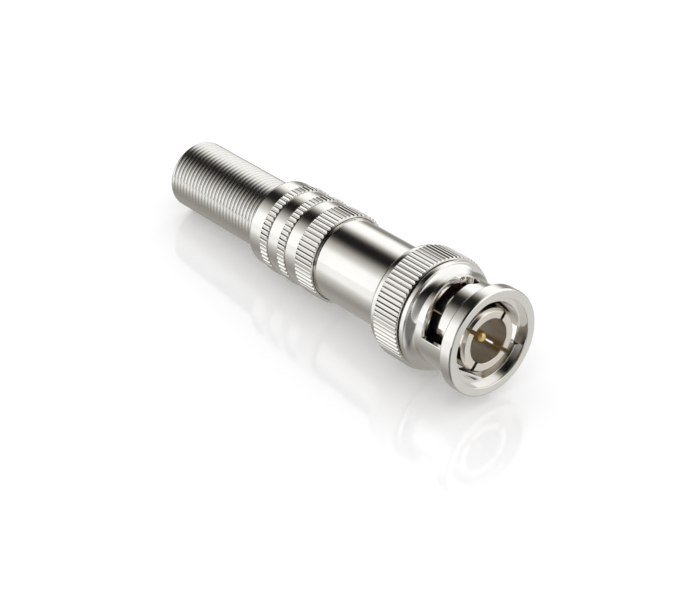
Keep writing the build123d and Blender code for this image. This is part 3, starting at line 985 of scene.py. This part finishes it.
def tone_ramp(tree, value, levels):
    """A curve of brightness over the range of the levels' places."""
    low, high = levels[0][0], levels[-1][0]
    ramp = add_node(tree, "ShaderNodeValToRGB", {0: step(tree, value, low, high, "LINEAR")})
    elements = ramp.color_ramp.elements
    elements.remove(elements[-1])
    for index, (place, tone) in enumerate(levels):
        spot = (place - low) / (high - low)
        element = elements.new(spot) if index else elements[0]
        element.position = spot
        element.color = warm_grey(tone)
    return ramp.outputs["Color"]


def far_direction():
    """The level direction away from the view."""
    angle = math.radians(FAR_AZIMUTH)
    return math.cos(angle), math.sin(angle), 0.0


def view_direction():
    """The direction from the plug to the place where the photograph was taken."""
    azimuth = math.radians(CAMERA_AZIMUTH)
    elevation = math.radians(CAMERA_ELEVATION)
    level = math.cos(elevation)
    return level * math.cos(azimuth), level * math.sin(azimuth), math.sin(elevation)


def studio_world():
    """The studio: plain white for the camera, plain for soft light, and for mirrors a dome
    whose brightness follows the elevation over the sloping floor, times the dark gap between
    the lights and the darker sides of the room."""
    world = bpy.data.worlds.new("studio")
    bpy.context.scene.world = world
    world.use_nodes = True
    tree = world.node_tree
    tree.nodes.clear()
    way = add_node(tree, "ShaderNodeTexCoord").outputs["Generated"]
    rise = math_node(tree, "ARCSINE", dot_product(tree, way, FLOOR_NORMAL))
    elevation = math_node(tree, "DEGREES", rise)
    sideways = dot_product(tree, way, (0.0, -1.0, 0.0))
    upwards = dot_product(tree, way, (0.0, 0.0, 1.0))
    about_x = math_node(tree, "DEGREES", math_node(tree, "ARCTAN2", sideways, upwards))
    endways = dot_product(tree, way, (1.0, 0.0, 0.0))
    drift = add_node(
        tree, "ShaderNodeMapRange", {"Value": endways, 1: GAP_DRIFT[0], 2: GAP_DRIFT[1], 4: GAP_DRIFT[2]}
    ).outputs[0]
    about_x = math_node(tree, "SUBTRACT", about_x, drift)
    far_share = step(tree, dot_product(tree, way, far_direction()), *FAR_EDGE)
    dome = mix_tones(
        tree, far_share, tone_ramp(tree, elevation, STUDIO), tone_ramp(tree, elevation, STUDIO_FAR)
    )
    dome = mix_tones(tree, 1.0, dome, tone_ramp(tree, about_x, GAP), blend_type="MULTIPLY")
    for direction, (outer, inner, tone) in ((view_direction(), VIEW_SIDE), ((-1.0, 0.0, 0.0), CABLE_SIDE)):
        inside = step(tree, dot_product(tree, way, direction), outer, inner)
        dome = scaled(tree, dome, math_node(tree, "MULTIPLY_ADD", inside, tone - 1, 1.0))
    ray = add_node(tree, "ShaderNodeLightPath").outputs
    mirrored = math_node(tree, "MAXIMUM", ray["Is Glossy Ray"], ray["Is Transmission Ray"])
    lit = mix_tones(tree, mirrored, grey(1.0), dome)
    seen = mix_tones(tree, ray["Is Camera Ray"], lit, grey(1.0))
    background = add_node(tree, "ShaderNodeBackground", {"Color": seen, "Strength": 1.0})
    add_node(tree, "ShaderNodeOutputWorld", {"Surface": background.outputs[0]})


def floor_material():
    """White acrylic: matt white with a faint mirror for the camera. Metal mirrors instead a glow of painted
    shade,
    set by the distance from the plug: darker close by, before the plug on the near side, and on the view's
    far side."""
    material = bpy.data.materials.new("white_floor")
    material.use_nodes = True
    tree = material.node_tree
    tree.nodes.clear()
    ray = add_node(tree, "ShaderNodeLightPath").outputs
    place = add_node(tree, "ShaderNodeTexCoord").outputs["Object"]
    side = math_node(tree, "MULTIPLY", dot_product(tree, place, (0.0, 1.0, 0.0)), 1 / MM)
    ahead = math_node(tree, "MULTIPLY", dot_product(tree, place, (1.0, 0.0, 0.0)), 1 / MM)
    # Painted shade: the mirrored floor's tone falls close to the plug and on the view's far side
    near = tone_ramp(tree, math_node(tree, "ABSOLUTE", side), FLOOR_NEAR_PAINTED_SHADE)
    far = tone_ramp(tree, side, FLOOR_FAR_PAINTED_SHADE)
    far_shade_share = step(tree, side, *FAR_SIDEWAYS, "LINEAR")
    front = step(tree, ahead, *FRONT_AHEAD, "LINEAR")
    tone = mix_tones(tree, front, mix_tones(tree, far_shade_share, near, far), warm_grey(FLOOR_FRONT_PAINTED_SHADE))
    # Painted shade before the plug on the near side
    corner = math_node(tree, "MULTIPLY", step(tree, ahead, *CORNER_AHEAD), step(tree, side, *CORNER_SIDEWAYS))
    tone = scaled(tree, tone, math_node(tree, "MULTIPLY_ADD", corner, FLOOR_CORNER_PAINTED_SHADE - 1, 1.0))
    matt = add_node(tree, "ShaderNodeBsdfDiffuse", {"Color": grey(FLOOR_COLOUR)})
    glow = math_node(tree, "MULTIPLY", ray["Is Camera Ray"], FLOOR_GLOW)
    light = add_node(tree, "ShaderNodeEmission", {"Color": grey(1.0), "Strength": glow})
    mirror = add_node(tree, "ShaderNodeBsdfGlossy", {"Color": grey(1.0), "Roughness": FLOOR_BLUR})
    part = math_node(tree, "MULTIPLY", ray["Is Camera Ray"], FLOOR_GLOSS)
    coated = add_node(tree, "ShaderNodeMixShader", {0: part, 1: matt.outputs[0], 2: mirror.outputs[0]})
    seen = add_node(tree, "ShaderNodeAddShader", {0: coated.outputs[0], 1: light.outputs[0]})
    # For mirrors the floor is an emission in this painted shade, not the lit floor
    mirrored = add_node(tree, "ShaderNodeEmission", {"Color": tone, "Strength": 1.0})
    both = add_node(
        tree, "ShaderNodeMixShader",
        {0: ray["Is Glossy Ray"], 1: seen.outputs[0], 2: mirrored.outputs[0]},
    )
    add_node(tree, "ShaderNodeOutputMaterial", {"Surface": both.outputs[0]})
    return material


class PLUG_OT_stage(bpy.types.Operator):
    """Set the floor that the plug lies on, the studio round it and the camera"""

    bl_idname = "plug.stage"
    bl_label = "Stage"

    def execute(self, context):
        half = context.scene.plug_sizes.floor_size / 2
        slope = math.tan(FLOOR_SLOPE)
        x = np.array([-half, half, half, -half])
        y = np.array([-half, -half, half, half])
        z = -NUT_R * MM + (FLOOR_TOUCH_X * MM - x) * slope
        mesh = bpy.data.meshes.new("floor")
        mesh.from_pydata(np.stack([x, y, z], 1).tolist(), [], [[0, 1, 2, 3]])
        mesh.materials.append(floor_material())
        floor = bpy.data.objects.new("floor", mesh)
        context.scene.collection.objects.link(floor)
        studio_world()
        camera = bpy.data.cameras.new("camera")
        camera.lens = CAMERA_LENS
        camera.sensor_width = 36.0
        camera.sensor_fit = "HORIZONTAL"
        camera.clip_start = 0.005
        camera.clip_end = 20.0
        eye = bpy.data.objects.new("camera", camera)
        context.scene.collection.objects.link(eye)
        away = Vector(view_direction())
        turn = away.to_track_quat("Z", "Y").to_matrix().to_4x4()
        place = Matrix.Translation(Vector(AIM) * MM + away * CAMERA_DISTANCE * MM)
        eye.matrix_world = place @ turn @ Matrix.Rotation(math.radians(CAMERA_ROLL), 4, "Z")
        context.scene.camera = eye
        context.scene.view_settings.view_transform = "Standard"
        return {"FINISHED"}


class PLUG_PT_panel(bpy.types.Panel):
    """Lists the plug's finishes, sizes and pieces."""

    bl_idname = "PLUG_PT_panel"
    bl_label = "Bayonet cable plug"
    bl_space_type = "VIEW_3D"
    bl_region_type = "UI"
    bl_category = "Plug"

    def draw(self, context):
        for group in (context.scene.plug_finish, context.scene.plug_sizes):
            column = self.layout.column()
            for name in group.__annotations__:
                column.prop(group, name)
        for operator in OPERATORS:
            self.layout.operator(operator.bl_idname)


OPERATORS = (
    PLUG_OT_nut, PLUG_OT_barrel, PLUG_OT_contact, PLUG_OT_pin, PLUG_OT_shell, PLUG_OT_spring,
    PLUG_OT_inner_pieces, PLUG_OT_stage,
)
CLASSES = (PlugFinish, PlugSizes, *OPERATORS, PLUG_PT_panel)


def register():
    """Register the classes and the scene's property groups."""
    for cls in CLASSES:
        bpy.utils.register_class(cls)
    bpy.types.Scene.plug_finish = bpy.props.PointerProperty(type=PlugFinish)
    bpy.types.Scene.plug_sizes = bpy.props.PointerProperty(type=PlugSizes)


def unregister():
    """Remove the property groups and the classes."""
    del bpy.types.Scene.plug_sizes
    del bpy.types.Scene.plug_finish
    for cls in reversed(CLASSES):
        bpy.utils.unregister_class(cls)


def main():
    """Build every piece and the stage."""
    register()
    for build in (
        bpy.ops.plug.nut, bpy.ops.plug.barrel, bpy.ops.plug.contact, bpy.ops.plug.pin,
        bpy.ops.plug.shell, bpy.ops.plug.spring, bpy.ops.plug.inner_pieces, bpy.ops.plug.stage,
    ):
        build()


if __name__ == "__main__":
    main()
